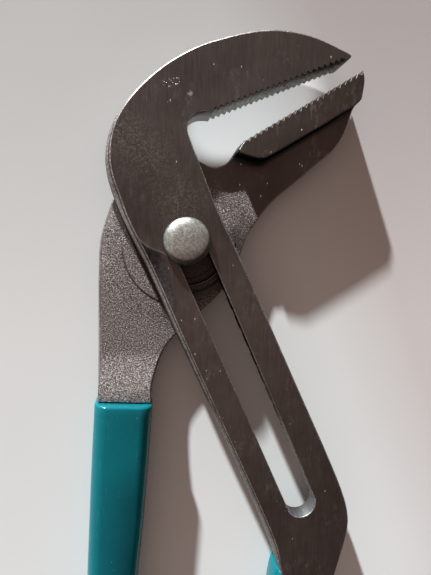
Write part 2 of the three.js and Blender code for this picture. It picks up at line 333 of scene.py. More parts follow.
def relief(name, loops, front, back, materials, spacing=1.8, extra=(), tooth_ends=0, region=None):
    """A closed forging: drafted walls, a rounded front edge of its own width at each point, and a
    front surface whose height is a function of place. Loops are rows of x, y, edge width, draft."""
    bm = bmesh.new()
    last = EDGE_TURNS[-1]
    inner, inner_verts, back_inner, back_verts = [], [], [], []
    for number, loop in enumerate(loops):
        width = np.array([r[2] for r in loop])
        draft = np.array([r[3] for r in loop])
        top = np.array([front(*p) for p in inset(loop, SKIN + draft + width)])
        low = np.array([back(*r[:2]) for r in loop])
        rings = []
        under = np.minimum(BACK_EDGE, width)
        rings.append((inset(loop, SKIN + draft + under), low))
        rings.append((inset(loop, SKIN + draft), low + under))
        rings.append((inset(loop, SKIN), (top + low) / 2))
        for turn in EDGE_TURNS:
            share = (1 - math.cos(turn)) / (1 - math.cos(last))
            drop = (math.sin(last) - math.sin(turn)) / math.sin(last)
            rings.append((inset(loop, SKIN + draft + width * share), top - EDGE_TALL * width * drop))
        verts = [[bm.verts.new((x, y, z)) for (x, y), z in zip(*ring)] for ring in rings]
        inner.append(rings[-1][0])
        inner_verts.append(verts[-1])
        back_inner.append(rings[0][0])
        back_verts.append(verts[0])
        for k in range(len(verts) - 1):
            for i, face in enumerate(bridge(bm, verts[k], verts[k + 1])):
                toothed = number == 0 and i < tooth_ends
                face.material_index = TEETH if toothed else BANDS[k]
    fill(bm, inner, inner_verts, front, extra, spacing, True, region)
    fill(bm, back_inner, back_verts, back, (), 2 * spacing, False)
    return closed(name, bm, materials)


def fill(bm, outline, ring_verts, height, extra, spacing, front_side, region=None):
    """Closes a face with triangles through an even spread of points at their own heights."""
    spread = fill_points(outline, spacing, list(extra))
    points = [Vector(p) for loop in outline for p in loop] + [Vector(p) for p in spread]
    edges, start = [], 0
    for loop in outline:
        n = len(loop)
        edges += [(start + i, start + (i + 1) % n) for i in range(n)]
        start += n
    out, _, faces, sources, _, _ = delaunay_2d_cdt(points, edges, [], 0, 1e-6)
    ring = [v for verts in ring_verts for v in verts]
    verts = []
    for place, source in zip(out, sources):
        known = [s for s in source if s < len(ring)]
        verts.append(ring[known[0]] if known else bm.verts.new((*place, height(*place))))
    middles = np.array([np.mean([out[i] for i in f], 0) for f in faces])
    keep = inside(middles, outline)
    for f, ok in zip(faces, keep):
        if not ok or len({verts[i] for i in f}) < 3:
            continue
        try:
            face = bm.faces.new([verts[i] for i in (f if front_side else reversed(f))])
        except ValueError:
            continue
        face.material_index = WALL
        if front_side:
            face.material_index = region(*np.mean([out[i] for i in f], 0)) if region else FACE


def combine(obj, other, how):
    """Joins or cuts obj by other, applied at once, and other is removed."""
    modifier = obj.modifiers.new("combine", "BOOLEAN")
    modifier.operation, modifier.object, modifier.solver = how, other, "EXACT"
    graph = bpy.context.evaluated_depsgraph_get()
    mesh = bpy.data.meshes.new_from_object(obj.evaluated_get(graph))
    obj.modifiers.clear()
    obj.data = mesh
    bpy.data.objects.remove(other)
    return obj


def painted(obj, name, share):
    """Stores a share at each vertex, from its place, for the material to read, such as painted shade, a
    painted highlight and the unground skin.
    """
    layer = obj.data.attributes.new(name, "FLOAT", "POINT")
    layer.data.foreach_set("value", [share(*v.co) for v in obj.data.vertices])


def finished(obj, body, node, sharp=24):
    """Scales a piece from millimetres to metres, shades it, gives it its body, and hides the CAD part of its
    node.
    """
    obj.data.transform(Matrix.Scale(MM, 4))
    bm = bmesh.new()
    bm.from_mesh(obj.data)
    bmesh.ops.remove_doubles(bm, verts=bm.verts, dist=2e-6)
    bm.to_mesh(obj.data)
    bm.free()
    for polygon in obj.data.polygons:
        polygon.use_smooth = True
    obj.data.set_sharp_from_angle(angle=math.radians(sharp))
    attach(obj, body)
    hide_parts(node)
    return obj


# ---- materials
class Tree:
    """Short hands for building a node tree."""

    def __init__(self, owner):
        owner.use_nodes = True
        self.tree = owner.node_tree

    def add(self, kind, **settings):
        node = self.tree.nodes.new(kind)
        for key, value in settings.items():
            if key in node.inputs:
                node.inputs[key].default_value = value
            else:
                setattr(node, key, value)
        return node

    def link(self, a, b):
        self.tree.links.new(a, b)

    def feed(self, socket, value):
        """Gives a socket a number, a tone or another socket's output."""
        if isinstance(value, (int, float)):
            socket.default_value = value
        elif isinstance(value, tuple):
            socket.default_value = colour(value)
        else:
            self.link(value, socket)

    def ramp(self, value, *stops):
        node = self.add("ShaderNodeValToRGB")
        for element, (place, tone) in zip(node.color_ramp.elements, (stops[0], stops[-1])):
            element.position, element.color = place, colour(tone)
        for place, tone in stops[1:-1]:
            node.color_ramp.elements.new(place).color = colour(tone)
        self.link(value, node.inputs["Fac"])
        return node.outputs["Color"]

    def sums(self, how, a, b):
        node = self.add("ShaderNodeMath", operation=how)
        for socket, value in zip(node.inputs, (a, b)):
            self.feed(socket, value)
        return node.outputs["Value"]

    def mix(self, fac, a, b, how="MIX"):
        node = self.add("ShaderNodeMix", data_type="RGBA", blend_type=how)
        for socket, value in (("Factor", fac), ("A", a), ("B", b)):
            self.feed(node.inputs[socket], value)
        return [o for o in node.outputs if o.type == "RGBA"][0]

    def times(self, a, b):
        return self.sums("MULTIPLY", a, b)

    def along(self, vector, axis):
        """How far the vector points along the axis."""
        node = self.add("ShaderNodeVectorMath", operation="DOT_PRODUCT")
        self.link(vector, node.inputs[0])
        node.inputs[1].default_value = axis
        return node.outputs["Value"]


class Nodes(Tree):
    """One node material."""

    def __init__(self, name):
        self.material = bpy.data.materials.new(name)
        super().__init__(self.material)
        self.shader = self.tree.nodes["Principled BSDF"]
        self.place = self.add("ShaderNodeTexCoord").outputs["Object"]

    def stretched(self, scale, turn=0.0):
        node = self.add("ShaderNodeMapping")
        node.inputs["Scale"].default_value = scale
        node.inputs["Rotation"].default_value = (0, 0, turn)
        self.link(self.place, node.inputs["Vector"])
        return node.outputs["Vector"]

    def noise(self, scale, detail=4.0, rough=0.55, vector=None, warp=0.0):
        node = self.add("ShaderNodeTexNoise", Scale=scale, Detail=detail, Roughness=rough, Distortion=warp)
        self.link(vector or self.place, node.inputs["Vector"])
        return node.outputs["Fac"]

    def cells(self, scale, vector=None, feature="F1"):
        node = self.add("ShaderNodeTexVoronoi", Scale=scale, feature=feature)
        self.link(vector or self.place, node.inputs["Vector"])
        return node.outputs["Distance"]

    def painted(self, name):
        """The painted share that the piece holds here, such as painted shade and painted highlight."""
        return self.add("ShaderNodeAttribute", attribute_name=name).outputs["Fac"]

    def spot(self, centre, reach, soft=0.5):
        """One near a place given in millimetres, nought beyond its reach."""
        node = self.add("ShaderNodeVectorMath", operation="DISTANCE")
        self.link(self.place, node.inputs[0])
        node.inputs[1].default_value = Vector(centre) * MM
        return self.ramp(self.times(node.outputs["Value"], 1 / (reach * MM)), (soft, 1.0), (1.0, 0.0))

    def dulled(self, name):
        """Takes the glancing shine away where shade is painted, as painted shade on the reflection."""
        tint = self.mix(self.painted(name), (1.0, 1.0, 1.0), (0.12, 0.12, 0.12))
        self.link(tint, self.shader.inputs["Specular Tint"])

    def bump(self, height, distance, before=None, strength=1.0):
        node = self.add("ShaderNodeBump", Distance=distance, Strength=strength)
        self.link(height, node.inputs["Height"])
        if before is not None:
            self.link(before, node.inputs["Normal"])
        return node.outputs["Normal"]

    def finish(self, base, roughness, normal=None, metallic=0.0, **plain):
        self.link(base, self.shader.inputs["Base Color"])
        self.link(roughness, self.shader.inputs["Roughness"])
        if normal is not None:
            self.link(normal, self.shader.inputs["Normal"])
        self.shader.inputs["Metallic"].default_value = metallic
        for key, value in plain.items():
            self.shader.inputs[key.replace("_", " ")].default_value = value
        return self.material


def colour(tone):
    if isinstance(tone, (int, float)):
        return (tone, tone, tone, 1)
    return (*tone, 1) if len(tone) == 3 else tone


def scaled(light, *tone):
    return tuple(light * part for part in tone)


def ground_steel(name="ground_steel", light=1.0, line=1.0):
    """Dark flat steel: long grinding lines, stains, scuffs, small bright nicks and dust, with painted shade,
    a painted highlight, and a painted reflection on the hollow's unground skin.
    """
    n = Nodes(name)
    lines = n.noise(1.0, 3, 0.6, n.stretched((3400, 130, 600), math.radians(5)))
    stain = n.noise(50, 5, 0.65)
    cloud = n.noise(420, 7, 0.8, n.stretched((1, 0.45, 1), math.radians(-8)))
    base = n.ramp(stain, (0.3, scaled(light, 0.105, 0.088, 0.081)),
                  (0.7, scaled(light, 0.165, 0.144, 0.134)))
    base = n.mix(n.ramp(lines, (0.4, 0.0), (0.75, 0.5 * line)), base, scaled(light, 0.25, 0.23, 0.22))
    scuffed = n.ramp(n.noise(85, 3, 0.5), (0.5, 0.0), (0.72, 1.0))
    scuff = n.times(scuffed, n.ramp(cloud, (0.5, 0.0), (0.68, 0.6)))
    base = n.mix(scuff, base, (0.45, 0.43, 0.41))
    nick = n.ramp(n.cells(560, n.stretched((1, 0.5, 1), math.radians(20))), (0.06, 1.0), (0.12, 0.0))
    few = n.ramp(n.noise(130, 2), (0.57, 0.0), (0.6, 1.0))
    nick = n.times(nick, few)
    base = n.mix(nick, base, (0.9, 0.87, 0.8))
    if light == 1.0:
        base, nick = worn_places(n, base, nick)
    # the hollow's unground forging skin, made dark and bluish as a painted reflection
    unground_and_reflection_tone = n.ramp(n.noise(700, 5, 0.75), (0.36, (0.045, 0.048, 0.056)), (0.66, (0.13, 0.128, 0.13)))
    base = n.mix(n.painted("unground_skin_and_reflection"), base, unground_and_reflection_tone)
    base = n.mix(n.painted("shade"), base, (0.026, 0.027, 0.03))
    # painted highlight on the hollow's lip and on the slot's end
    base = n.mix(n.painted("painted_highlight"), base, (0.36, 0.4, 0.43))
    rough = n.ramp(n.sums("ADD", n.times(lines, 0.5), n.times(cloud, 0.5)),
                   (0.3, 0.34), (0.7, 0.48))
    normal = n.bump(lines, 0.00003, strength=0.5)
    normal = n.bump(scuff, 0.00003, normal, 0.5)
    normal = n.bump(nick, 0.0001, normal, 0.6)
    n.dulled("shade")
    return n.finish(base, rough, normal, 0.95)


FLECK = (1.2, 44.6, FRONT_FACE)  # a dried fleck of paint on the head
NICKED = ((-5.6, 47.2, FRONT_FACE), (-2.8, 47.7, FRONT_FACE))  # a row of small dents
SCUFFED = ((-20.5, 34.0, FRONT_FACE), (-12.5, 26.5, FRONT_FACE), (-2.5, 12.0, FRONT_FACE),
           (-16.5, -21.0, FRONT_FACE))
SCUFF_REACH = (9, 11, 11, 8)


def worn_places(n, base, nick):
    """Marks that sit in certain places on the head: scuffs, a row of dents, and the fleck."""
    fine = n.noise(1700, 5, 0.8)
    for centre, reach in zip(SCUFFED, SCUFF_REACH):
        mask = n.times(n.spot(centre, reach, 0.1), n.ramp(fine, (0.48, 0.0), (0.62, 0.75)))
        base = n.mix(mask, base, (0.46, 0.45, 0.43))
    dents = n.ramp(n.cells(1300), (0.22, 1.0), (0.3, 0.0))
    for centre in NICKED:
        nick = n.sums("MAXIMUM", nick, n.times(n.spot(centre, 1.7, 0.4), dents))
    base = n.mix(nick, base, (0.95, 0.93, 0.88))
    wobble = n.times(n.spot(FLECK, 1.0, 0.5), n.ramp(n.noise(1300, 3), (0.38, 0.0), (0.5, 0.8)))
    return n.mix(wobble, base, (0.85, 0.8, 0.7)), nick


def edge_steel(name="edge_steel", light=1.0):
    """Rounded forged edges with fine bright grains, painted lighter than the faces as a highlight; a copy
    with less light makes the painted shade of the edge bands.
    """
    n = Nodes(name)
    run = n.noise(120, 6, 0.7)
    fine = n.noise(1500, 4, 0.7)
    base = n.ramp(run, (0.35, scaled(light, 0.16, 0.15, 0.145)),
                  (0.68, scaled(light, 0.34, 0.33, 0.32)))
    base = n.mix(n.ramp(fine, (0.5, 0.0), (0.66, 0.7)), base, scaled(light, 0.6, 0.59, 0.57))
    rough = n.ramp(fine, (0.3, 0.38), (0.7, 0.6))
    return n.finish(base, rough, n.bump(fine, 0.0001, strength=0.7), 0.9)


def forged_steel(name="forged_steel", light=1.0):
    """Shot-blasted forging: fine bright grains over brown-grey."""
    n = Nodes(name)
    grain = n.noise(2300, 3, 0.8)
    pits = n.cells(2600)
    patch = n.noise(60, 4, 0.6)
    base = n.ramp(grain, (0.38, scaled(light, 0.045, 0.039, 0.037)),
                  (0.5, scaled(light, 0.17, 0.155, 0.15)), (0.62, scaled(light, 0.6, 0.57, 0.55)))
    base = n.mix(n.ramp(patch, (0.35, 0.0), (0.7, 0.3)), base, scaled(light, 0.17, 0.15, 0.14))
    rough = n.ramp(grain, (0.3, 0.5), (0.7, 0.7))
    height = n.sums("ADD", grain, n.times(pits, 0.5))
    base = n.mix(n.painted("shade"), base, (0.03, 0.024, 0.022))
    return n.finish(base, rough, n.bump(height, 0.00016, strength=0.8), 0.6)


def milled_steel():
    """Cut steel of the teeth: dirty, with the flanks that face back along the row painted lighter as painted
    light.
    """
    n = Nodes("milled_steel")
    lines = n.noise(1.0, 3, 0.6, n.stretched((500, 500, 3000)))
    dirt = n.noise(520, 5, 0.7)
    base = n.ramp(dirt, (0.38, (0.04, 0.036, 0.033)), (0.6, (0.12, 0.115, 0.105)))
    base = n.mix(n.ramp(lines, (0.5, 0.0), (0.72, 0.5)), base, (0.4, 0.39, 0.36))
    # painted light: the flanks facing back along the row are painted lighter
    facing = n.add("ShaderNodeTexCoord").outputs["Normal"]
    facing = n.along(facing, (math.cos(TEETH_LEAN), math.sin(TEETH_LEAN), 0))
    lit_flank = n.ramp(facing, (0.0, 1.0), (0.25, 0.0))
    base = n.mix(n.times(lit_flank, n.ramp(dirt, (0.35, 0.1), (0.6, 0.7))), base, (0.28, 0.265, 0.23))
    base = n.mix(n.painted("shade"), base, (0.012, 0.011, 0.01))
    rough = n.ramp(lines, (0.3, 0.32), (0.7, 0.5))
    n.dulled("shade")
    return n.finish(base, rough, n.bump(lines, 0.00005, strength=0.5), 0.95)


def zinc_plate():
    """Satin zinc with a mottled grain."""
    n = Nodes("zinc_plate")
    grain = n.noise(1500, 5, 0.75)
    spread = n.noise(330, 4, 0.6)
    base = n.ramp(spread, (0.38, (0.40, 0.44, 0.41)), (0.64, (0.60, 0.645, 0.60)))
    base = n.mix(n.ramp(grain, (0.42, 0.6), (0.6, 0.0)), base, (0.19, 0.2, 0.185))
    base = n.mix(n.painted("shade"), base, (0.05, 0.042, 0.038))
    rough = n.ramp(grain, (0.3, 0.38), (0.7, 0.5))
    return n.finish(base, rough, n.bump(grain, 0.00006, strength=0.5), 0.92)


def dipped_vinyl():
    """Glossy teal vinyl, slightly uneven from dipping, with fine scuffs and dust."""
    n = Nodes("dipped_vinyl")
    wave = n.noise(38, 3, 0.5)
    scuff = n.noise(1.0, 4, 0.6, n.stretched((900, 160, 500), math.radians(20)))
    base = n.ramp(wave, (0.3, (0.0, 0.1, 0.122)), (0.7, (0.0, 0.13, 0.155)))
    base = n.mix(n.ramp(scuff, (0.62, 0.0), (0.8, 0.25)), base, (0.05, 0.26, 0.28))
    # painted shadow on the middle of the left grip, from its shade attribute
    base = n.mix(n.painted("shade"), base, (0.0, 0.028, 0.042))
    few = n.ramp(n.noise(120, 2), (0.56, 0.0), (0.6, 0.8))
    dust = n.times(n.ramp(n.cells(620), (0.04, 1.0), (0.08, 0.0)), few)
    base = n.mix(dust, base, (0.5, 0.58, 0.58))
    rough = n.ramp(scuff, (0.4, 0.16), (0.75, 0.34))
    normal = n.bump(wave, 0.0006, strength=0.4)
    normal = n.bump(n.noise(420, 3, 0.5), 0.00004, normal, 0.4)
    return n.finish(base, rough, normal, Specular_IOR_Level=0.22, Coat_Weight=0.12, Coat_Roughness=0.12)


def floor_paint():
    """Pale painted table with painted light: brighter towards the handles, a painted shadow band on the
    right, and a few specks.
    """
    n = Nodes("floor_paint")
    split = n.add("ShaderNodeSeparateXYZ")
    n.link(n.place, split.inputs["Vector"])
    # painted light: the table brighter towards the handles and darker away from them
    along = n.sums("ADD", n.times(split.outputs["Y"], 2.6), 0.5)
    base = n.ramp(along, (0.2, (0.72, 0.73, 0.74)), (0.42, (0.66, 0.665, 0.665)), (0.7, 0.455), (0.85, 0.4))
    # painted shadow: a darker band towards the right
    band = n.sums("ADD", n.times(split.outputs["X"], 0.94), n.times(split.outputs["Y"], 0.34))
    floor_painted_shadow = n.ramp(n.times(band, 8.0), (0.3, (0.955, 1.0, 0.995)), (0.56, (0.82, 0.795, 0.785)))
    base = n.mix(1.0, base, floor_painted_shadow, "MULTIPLY")
    base = n.mix(n.ramp(n.noise(9, 4, 0.5), (0.35, 0.0), (0.7, 0.06)), base, (0.6, 0.56, 0.53))
    few = n.ramp(n.noise(45, 2), (0.58, 0.0), (0.62, 0.4))
    speck = n.times(n.ramp(n.cells(330), (0.04, 1.0), (0.07, 0.0)), few)
    base = n.mix(speck, base, (0.42, 0.4, 0.38))
    rough = n.ramp(n.noise(30, 3, 0.5), (0.3, 0.42), (0.7, 0.5))
    return n.finish(base, rough, n.bump(n.noise(500, 3, 0.6), 0.00003, strength=0.4))


STEEL = ground_steel(line=0.5)
JAW_STEEL = ground_steel("jaw_steel", 0.6, 0.3)
# the edges: a lighter copy as painted highlight, a darker copy as painted shade
LIT_EDGE = edge_steel()
SHADED = edge_steel("shaded_edge_steel", 0.3)
FORGED = forged_steel(light=0.9)
MILLED = milled_steel()
ZINC = zinc_plate()
VINYL = dipped_vinyl()
UPPER_SLOTS = [STEEL, LIT_EDGE, STEEL, MILLED, SHADED, STEEL]
LOWER_SLOTS = [JAW_STEEL, LIT_EDGE, JAW_STEEL, MILLED, SHADED, FORGED]


# ---- slotted arm
def side_of(line, x, y):
    """Signed distance from a broken line, positive on its right."""
    best, sign = 1e9, 1.0
    for (x0, y0), (x1, y1) in zip(line, line[1:]):
        dx, dy = x1 - x0, y1 - y0
        t = min(1.0, max(0.0, ((x - x0) * dx + (y - y0) * dy) / (dx * dx + dy * dy)))
        away = math.hypot(x - x0 - t * dx, y - y0 - t * dy)
        if away < best:
            best, sign = away, 1.0 if (x - x0) * dy - (y - y0) * dx > 0 else -1.0
    return best * sign


def beside(line, away):
    """The line moved to its right."""
    points = [np.array(p) for p in line]
    points = [2 * points[0] - points[1], *points, 2 * points[-1] - points[-2]]
    out = []
    for a, b, c in zip(points, points[1:], points[2:]):
        ahead = (b - a) / np.linalg.norm(b - a) + (c - b) / np.linalg.norm(c - b)
        ahead /= np.linalg.norm(ahead)
        out.append(b + away * np.array([ahead[1], -ahead[0]]))
    return out


def resampled(line, step):
    """A broken line with more points along it."""
    out = [np.array(line[0], float)]
    for a, b in zip(line, line[1:]):
        a, b = np.array(a, float), np.array(b, float)
        parts = max(1, round(np.linalg.norm(b - a) / step))
        out += [a + (b - a) * (i + 1) / parts for i in range(parts)]
    return out


def rows_beside(line, step, *aways):
    """Points along a broken line, in rows to its right."""
    line = resampled(line, step)
    return [tuple(p) for away in aways for p in beside(line, away)]


def eased(value, low, high):
    t = min(1.0, max(0.0, (value - low) / (high - low)))
    return t * t * (3 - 2 * t)


def slot_frame(x, y):
    """Travel along the slot and distance to its right."""
    along = np.array([math.sin(SLOT_LEAN), -math.cos(SLOT_LEAN)])
    return x * along[0] + y * along[1], -x * along[1] + y * along[0]


LIP = ((-21.5, 11.0), (-18.6, 6.2), (-16.5, 3.0), (-14.5, 0.5), (-12.1, -1.6), (-9.0, -2.9), (-7.4, -3.4),
       (-5.8, -4.6), (-4.0, -7.0))  # crescent lip of the hollow beside the slot
SCOOP_DEEP = 1.6


def scoop_depth(x, y):
    """The long hollow beside the slot: a crisp lip below the head, fading out down the shank."""
    travel, right = slot_frame(x, y)
    if right > -6 or travel > 26 or travel < -18:
        return 0.0
    below = 0.45 * eased(side_of(LIP, x, y), -0.05, 0.8) + 0.55 * eased(side_of(LIP, x, y), 0.2, 4.0)
    fade = 1 - eased(travel, 6.0, 22.0)
    side = 1 - eased(right, -12.2, -7.4 - 0.17 * travel)
    ridge = 0.4 + 0.6 * eased(right, -13.5, -12.6)
    return SCOOP_DEEP * below * fade * side * ridge


def upper_front(x, y):
    return FRONT_FACE - scoop_depth(x, y)


def scoop_points():
    """Closer points where the hollow bends."""
    points = rows_beside(LIP, 0.5, -0.3, -0.05, 0.2, 0.45, 0.7, 0.95, 1.4)
    for travel in np.arange(-8, 24, 0.7):
        for right in np.arange(-13.7, -7.4, 0.5):
            point = along_slot(travel, right)
            if side_of(LIP, *point) > 1.7:
                points.append(point)
    return points


def circle(centre, radius, steps=96, start=0.0):
    return [polar(radius, start + 2 * math.pi * i / steps, centre) for i in range(steps)]


def arc_band(travel, radius, width, start, end, steps=26):
    centre = on_slot(travel)
    base = -math.pi / 2 + SLOT_LEAN
    out = []
    for r, order in ((radius + width / 2, range(steps + 1)), (radius - width / 2, range(steps, -1, -1))):
        for i in order:
            out.append(polar(r, base + math.radians(start + (end - start) * i / steps), centre))
    return out


def along_slot(travel, right):
    across = np.array([math.cos(SLOT_LEAN), math.sin(SLOT_LEAN)])
    return tuple(on_slot(travel) + right * across)


def bore(obj, radius, high, materials, steps=72):
    """Cuts a round hole about the pivot axis, from below the tool up to a level."""
    combine(obj, prism("cut", circle((0, 0), radius, steps), -10, high, materials), "DIFFERENCE")


def wedge(name, profile, materials):
    """A profile of travel and height, wider than the tool across the slot."""
    rings = [[(*along_slot(t, right), z) for t, z in profile] for right in (-90, 90)]
    return skin(name, rings, materials, WALL)


def upper_shade(x, y, z):
    """Painted shade: darker on the head and a little down the shank, in the gullets, in the slot's right
    wall and in the throat's inner corner.
    """
    if z < UPPER_LAP:
        return 0.0
    travel, right = slot_frame(x, y)
    # painted shade in the slot's right wall
    slot_wall = z < FRONT_FACE - 0.4 and SLOT_RADIUS - 0.1 < right < SLOT_RADIUS + 0.4
    slot_wall_shade = 0.85 * slot_wall * (1 - eased(travel, 40, 60))
    across = -(x - 8.4) * math.sin(TEETH_LEAN) + (y - 39.6) * math.cos(TEETH_LEAN)
    gullet = 0.85 * (z < FRONT_FACE - 0.1) * (8 < x < 51) * eased(across, 0.25, 0.85) * (across < 1.3)
    corner = 0.8 * (z < FRONT_FACE - 0.3) * eased(x, -4, -1) * (1 - eased(x, 9, 12)) * eased(y, 22, 30)
    return max(0.42 * eased(y, -25, 12) + 0.1 * eased(-y, 40, 110), slot_wall_shade, corner, gullet)


def upper_unground_skin_and_reflection(x, y, z):
    """The forging's own skin, left in the hollow, with the hollow's dark bluish reflection painted into it.
    """
    return min(1.0, scoop_depth(x, y) / 0.3) if z > UPPER_LAP + 1 else 0.0


def upper_painted_highlight(x, y, z):
    """Painted highlights: a light line along the lip of the hollow, and the end of the slot painted bright.
    """
    travel, right = slot_frame(x, y)
    if UPPER_LAP < z < FRONT_FACE - 0.2 and abs(right) < SLOT_RADIUS + 0.3 and travel > SLOT_LENGTH:
        return 0.9 * eased(travel, SLOT_LENGTH, SLOT_LENGTH + 3)
    if z < FRONT_FACE - 1 or not -14 < y < 12:
        return 0.0
    lip = 1 - eased(abs(side_of(LIP, x, y) - 0.02), 0.1, 0.32)
    return 0.6 * lip * eased(-y, -8, -3) * (1 - eased(x, -7.5, -5.8))


def slotted_arm():
    outer = upper_outline()
    arm = relief("slotted_upper_jaw_arm_steel", [outer, slot_outline()], upper_front, level(REAR_FACE),
                 UPPER_SLOTS, 1.8, scoop_points(), UPPER_TEETH * 6)
    shank = [(0, -10), (SHANK_END + 3, -10), (SHANK_END + 3, REAR_FACE), (SHANK_END - 3, UPPER_LAP),
             (0, UPPER_LAP)]
    combine(arm, wedge("cut", shank, UPPER_SLOTS), "DIFFERENCE")
    bore(arm, JAW_RECESS_R, UPPER_LAP, UPPER_SLOTS, 120)
    for i in range(DETENTS):
        groove = prism("cut", arc_band(i * DETENT_PITCH, TONGUE_R, 2.5, -62, 60), UPPER_LAP - 1,
                       UPPER_LAP + GROOVE_DEEP, UPPER_SLOTS)
        combine(arm, groove, "DIFFERENCE")
    combine(arm, handle_bar("tang", RIGHT_HANDLE, RIGHT_WIDTHS, RIGHT_TANG_FRONT, UPPER_SLOTS), "UNION")
    painted(arm, "shade", upper_shade)
    painted(arm, "unground_skin_and_reflection", upper_unground_skin_and_reflection)
    painted(arm, "painted_highlight", upper_painted_highlight)
    return finished(arm, "upper_jaw", "slotted_upper_jaw_arm", 20)


# ---- handles
RIGHT_HANDLE = [(41.9, -120.25), (40.3, -125.6), (38.7, -137), (37.9, -155), (38.3, -180), (39.6, -206),
                (41.2, -238)]
RIGHT_WIDTHS = [21.6, 20.6, 18.7, 17, 16.2, 17, 18]
LEFT_HANDLE = [(-20.7, -52.8), (-22.4, -74), (-24, -94), (-25.9, -116), (-27.6, -145), (-28.6, -175),
               (-28.2, -205), (-26.6, -236)]
LEFT_WIDTHS = [18.8, 18.6, 18, 16.9, 16, 16, 17, 18]


def spline_at(keys, share):
    """Point on a smooth curve through the keys, at a share from 0 to 1."""
    k = [np.array(v, float) for v in keys]
    place = share * (len(k) - 1)
    i = min(int(place), len(k) - 2)
    return between(k[max(0, i - 1)], k[i], k[i + 1], k[min(len(k) - 1, i + 2)], place - i)


class Handle:
    """Middle line of a handle, by length from its mouth."""

    def __init__(self, keys, widths):
        fine = 400
        self.points = np.array([spline_at(keys, i / fine) for i in range(fine + 1)])
        self.widths = np.array([spline_at([(w,) for w in widths], i / fine)[0] for i in range(fine + 1)])
        self.run = np.concatenate([[0], np.cumsum(np.hypot(*np.diff(self.points, axis=0).T))])
        self.length = self.run[-1]

    def point(self, run):
        return np.array([np.interp(run, self.run, self.points[:, i]) for i in (0, 1)])

    def at(self, run):
        """Point, direction and width. A negative run goes straight on before the mouth."""
        place = min(max(run, 0.5), self.length - 0.5)
        tangent = self.point(place + 0.5) - self.point(place - 0.5)
        tangent /= np.linalg.norm(tangent)
        return self.point(run) + tangent * min(run, 0.0), tangent, np.interp(run, self.run, self.widths)


def handle_ring(handle, run, inset_by, low, high, corner, shrink=1.0, count=44):
    """A rounded flat-sided ring across the handle."""
    point, tangent, width = handle.at(run)
    a = max(0.3, (width / 2 - inset_by) * shrink)
    b = max(0.3, ((high - low) / 2 - inset_by) * shrink)
    corner = min(corner, 0.98 * a, 0.98 * b)
    middle = (low + high) / 2
    ring = []
    for i in range(count):
        angle = 2 * math.pi * (i + 0.5) / count
        c, s = math.cos(angle), math.sin(angle)
        across = math.copysign(a - corner, c) + corner * c
        height = math.copysign(b - corner, s) + corner * s
        place = point + across * np.array([-tangent[1], tangent[0]])
        ring.append((place[0], place[1], middle + height))
    return ring


def handle_bar(name, keys, widths, front, materials):
    """The steel tang inside a grip."""
    handle = Handle(keys, widths)
    low, high = TANG_BACK - TANG_INSET, front + TANG_INSET
    cap = handle.length - 4 - TANG_CAP

    def ring(run, inset_by=TANG_INSET, shrink=1.0):
        return handle_ring(handle, run, inset_by, low, high, TANG_CORNER, shrink, 28)

    rings = [ring(run, TANG_INSET + 0.35) for run in (-2.5, 0.3)]
    rings += [ring(run) for run in np.linspace(0.8, cap, 26)]
    for turn in (25, 50, 70, 84):
        t = math.radians(turn)
        rings.append(ring(cap + TANG_CAP * math.sin(t), shrink=math.cos(t)))
    return skin(name, rings, materials, WALL)


def left_grip_painted_shadow(x, y, z):
    """Painted shadow: the darker middle of the left grip's front."""
    across = abs(x + 19.9 + 0.078 * (-y - 52.8))
    where = eased(-y, 68, 86) * (1 - eased(-y, 140, 175)) * eased(z, 10.5, 12.5)
    return 0.8 * where * (1 - eased(across, 3.2, 6.2)) * (x < 0)


def grip(name, keys, widths, front, body, node):
    """A dipped sleeve: its hollow, a thick soft lip at the mouth, and a smooth rounded end."""
    handle = Handle(keys, widths)
    low, high = TANG_BACK - TANG_INSET, front + TANG_INSET
    end = handle.length - 0.15

    def hollow(run, shrink=1.0):
        return handle_ring(handle, run, TANG_INSET - 0.15, low, high, HOLLOW_CORNER, shrink)

    def shell(run, inset_by=0.0, corner=GRIP_CORNER, shrink=1.0):
        return handle_ring(handle, run, inset_by, 0, GRIP_THICK, corner, shrink)

    rings = []
    for turn in (84, 60, 30):
        t = math.radians(turn)
        rings.append(hollow(end - HOLLOW_END + HOLLOW_CAP * math.sin(t), math.cos(t)))
    rings += [hollow(run) for run in np.linspace(end - HOLLOW_END, 0.35, 24)]
    mouth, outer = hollow(0.0), shell(0.0, GRIP_LIP, 4.2)
    rings += [mouth, [(np.array(a) + b) / 2 for a, b in zip(mouth, outer)]]
    for turn in (0, 22, 45, 68, 90):
        t = math.radians(turn)
        rings.append(shell(GRIP_LIP * (1 - math.cos(t)), GRIP_LIP * (1 - math.sin(t))))
    rings += [shell(run) for run in np.linspace(3, end - GRIP_CAP, 50)]
    for turn in range(8, 89, 8):
        t = math.radians(turn)
        rings.append(shell(end - GRIP_CAP + GRIP_CAP * math.sin(t), 0.0, GRIP_CORNER + 2.4 * math.sin(t),
                           0.3 * math.cos(t) + 0.7 * math.sqrt(math.cos(t))))
    piece = skin(name, rings, [VINYL])
    painted(piece, "shade", left_grip_painted_shadow)
    return finished(piece, body, node, 60)


# ---- lower arm
PATCH = ((-40, 20), (6, 18.2), (9.2, 17.3), (12.1, 16.1), (14.8, 15.8), (17.5, 16.2), (19.8, 16.5),
         (21.5, 13.6), (22.6, 11.0), (25, 6.5), (30, 2.0))  # upper end of the shot-blasted surface
PAD_SIDE = ((14.5, 29.9), (16.5, 28.9), (16.9, 27.6), (19.9, 26.7), (22.5, 26.05), (24.9, 26.1),
            (30.5, 29.1), (36.2, 32.5), (46, 38.3), (55.4, 44.3), (60, 47.4))  # foot of the raised pad
PAD_FILLET = 1.9
PAD_EDGE = 0.4
PAD_EDGE_TALL = 0.35
PAD_WALL = 0.14


